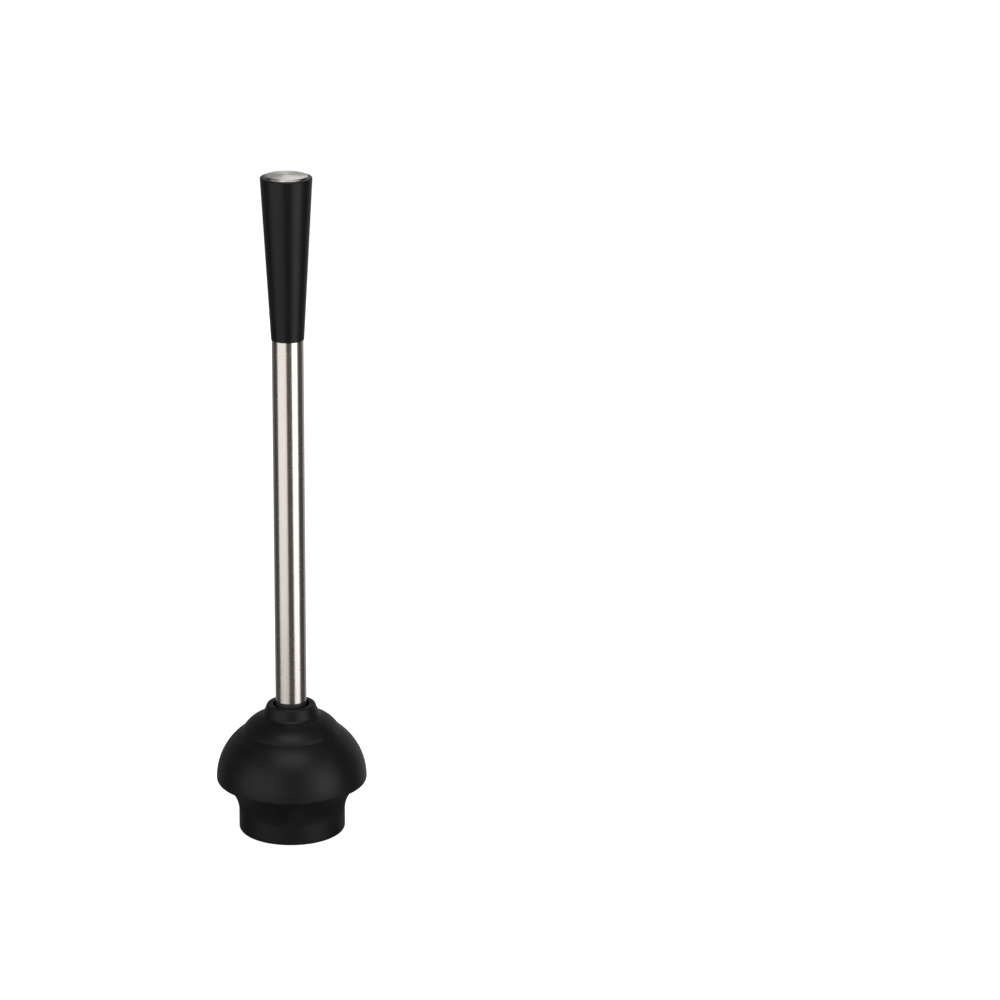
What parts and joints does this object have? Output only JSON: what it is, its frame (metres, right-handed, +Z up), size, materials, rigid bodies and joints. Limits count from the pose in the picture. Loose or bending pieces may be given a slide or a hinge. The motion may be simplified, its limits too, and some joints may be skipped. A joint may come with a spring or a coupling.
{
  "type": "toilet plunger",
  "caption": "Rubber toilet plunger cup with a lobed bell and fold-out flange on a screwed-in brushed steel tube handle with a tapered black grip and steel end cap.",
  "frame": {"origin": "centre of the flange's foot, on the surface the plunger stands on", "axes": "+Z up along the handle, +X and +Y level; the part is round about Z"},
  "size_m": [0.1234, 0.1234, 0.552],
  "materials": {
    "cup_rubber": "satin black moulded rubber",
    "seal_rubber": "matte black rubber",
    "grip_plastic": "matte black moulded plastic",
    "inner_plastic": "black moulded plastic",
    "tube_steel": "stainless, polished round the tube",
    "cap_steel": "stainless, brushed in circles",
    "screw_steel": "zinc plated"
  },
  "bodies": {
    "flange": {"cup_flange": "cup_rubber", "flange_fold": "cup_rubber"},
    "bell": {"cup_bell": "cup_rubber", "bell_fold": "cup_rubber"},
    "crease": {"crease_ring": "cup_rubber", "upper_lobe": "cup_rubber"},
    "neck": {"cup_neck": "cup_rubber", "neck_insert": "inner_plastic"},
    "seal": {"seal_ring": "seal_rubber"},
    "handle": {"tube": "tube_steel", "threaded_plug": "inner_plastic", "upper_plug": "inner_plastic", "grip": "grip_plastic", "grip_screw": "screw_steel", "screw_washer": "screw_steel", "cap_seat": "inner_plastic", "end_cap": "cap_steel"}
  },
  "joints": [
    {"name": "flange_tuck", "type": "slide", "parent": "flange", "child": "bell", "axis": [0, 0, -1], "range_m": [0, 0.042], "deforming": ["flange_fold"]},
    {"name": "bell_squash", "type": "slide", "parent": "bell", "child": "crease", "axis": [0, 0, -1], "range_m": [0, 0.021], "stiffness_N_per_m": 2500, "springref_m": -0.00106, "deforming": ["bell_fold"]},
    {"name": "handle_rock", "type": "hinge", "parent": "crease", "child": "neck", "pos_m": [0, 0, 0.09], "axis": [0, 1, 0], "range_deg": [-8, 8], "stiffness_Nm_per_rad": 8, "deforming": ["upper_lobe"]},
    {"name": "seal_lift", "type": "slide", "parent": "neck", "child": "seal", "axis": [0, 0, 1], "range_m": [0, 0.02]},
    {"name": "handle_unscrew", "type": "hinge", "parent": "seal", "child": "handle", "pos_m": [0, 0, 0.1], "axis": [0, 0, 1], "range_deg": [0, 1440]}
  ],
  "couplings": [
    {"joint": "seal_lift", "follows": "handle_unscrew", "m_per_rad": 0.00079577}
  ]
}
